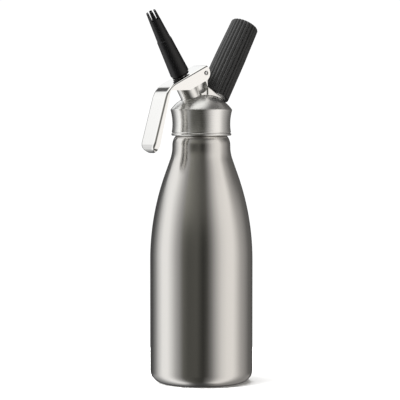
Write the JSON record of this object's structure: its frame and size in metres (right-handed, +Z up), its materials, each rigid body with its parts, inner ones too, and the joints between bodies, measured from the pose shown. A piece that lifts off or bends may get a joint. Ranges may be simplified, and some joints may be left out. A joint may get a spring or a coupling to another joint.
{
  "type": "whipped cream dispenser",
  "caption": "Brushed steel bottle with a screw-on head, squeeze lever, fluted black nozzle and ribbed holder for a gas charger.",
  "frame": {"origin": "centre of the flat base of the bottle, on the bottle's axis", "axes": "+Z up along the bottle's axis; the lever and nozzle point to -X, and the charger holder leans to +X"},
  "size_m": [0.1184, 0.092, 0.3326],
  "materials": {
    "brushed_steel": "fine brushing round the bottle",
    "head_steel": "satin",
    "polished_steel": "mirror polished",
    "plain_steel": "machined",
    "spring_steel": "drawn wire",
    "brass": "machined",
    "black_plastic": "satin black",
    "ribbed_plastic": "satin black with ribs",
    "black_rubber": "moulded",
    "silicone": "translucent grey"
  },
  "bodies": {
    "bottle": {"bottle": "brushed_steel"},
    "gasket": {"head_gasket": "silicone"},
    "head": {"head_body": "head_steel", "pivot_pin": "plain_steel", "gland_o_ring_lower": "black_rubber", "gland_o_ring_upper": "black_rubber", "spring_washer": "plain_steel", "valve_spring": "spring_steel", "check_valve": "silicone", "piercing_pin": "brass", "pin_screw": "brass", "charger_seal": "black_rubber"},
    "lever": {"lever": "polished_steel"},
    "stem": {"valve_stem": "plain_steel", "valve_seal": "black_rubber", "valve_washer": "plain_steel", "valve_nut": "plain_steel", "nozzle_collar": "black_plastic"},
    "nozzle_seat": {"nozzle_seal": "black_rubber"},
    "nozzle": {"nozzle": "black_plastic"},
    "charger": {"gas_charger": "plain_steel", "charger_cap": "brass"},
    "holder": {"charger_holder": "ribbed_plastic", "holder_insert": "plain_steel"}
  },
  "joints": [
    {"name": "head_lift", "type": "slide", "parent": "bottle", "child": "gasket", "axis": [0, 0, 1], "range_m": [0, 0.012]},
    {"name": "head_turn", "type": "hinge", "parent": "gasket", "child": "head", "pos_m": [0, 0, 0.2378], "axis": [0, 0, 1], "range_deg": [0, 1080]},
    {"name": "lever_pivot", "type": "hinge", "parent": "head", "child": "lever", "pos_m": [-0.0026, 0, 0.2773], "axis": [0, -1, 0], "range_deg": [0, 10.5]},
    {"name": "valve_slide", "type": "slide", "parent": "head", "child": "stem", "axis": [0.5038, 0, -0.8638], "range_m": [0, 0.0032], "stiffness_N_per_m": 4000, "springref_m": -0.008, "deforming": ["valve_spring"]},
    {"name": "nozzle_travel", "type": "slide", "parent": "stem", "child": "nozzle_seat", "axis": [-0.5038, 0, 0.8638], "range_m": [0, 0.01]},
    {"name": "nozzle_turn", "type": "hinge", "parent": "nozzle_seat", "child": "nozzle", "pos_m": [-0.02347, 0, 0.27665], "axis": [-0.5038, 0, 0.8638], "range_deg": [0, 2880]},
    {"name": "charger_travel", "type": "slide", "parent": "head", "child": "charger", "axis": [0.4859, 0, 0.874], "range_m": [0, 0.009]},
    {"name": "holder_turn", "type": "hinge", "parent": "charger", "child": "holder", "pos_m": [0.01361, 0, 0.25783], "axis": [0.4859, 0, 0.874], "range_deg": [0, 2160]}
  ],
  "couplings": [
    {"joint": "head_lift", "follows": "head_turn", "m_per_rad": 0.00063662},
    {"joint": "lever_pivot", "follows": "valve_slide", "rad_per_m": 54.472},
    {"joint": "nozzle_turn", "follows": "nozzle_travel", "rad_per_m": 5026.5},
    {"joint": "charger_travel", "follows": "holder_turn", "m_per_rad": 0.00023873}
  ]
}
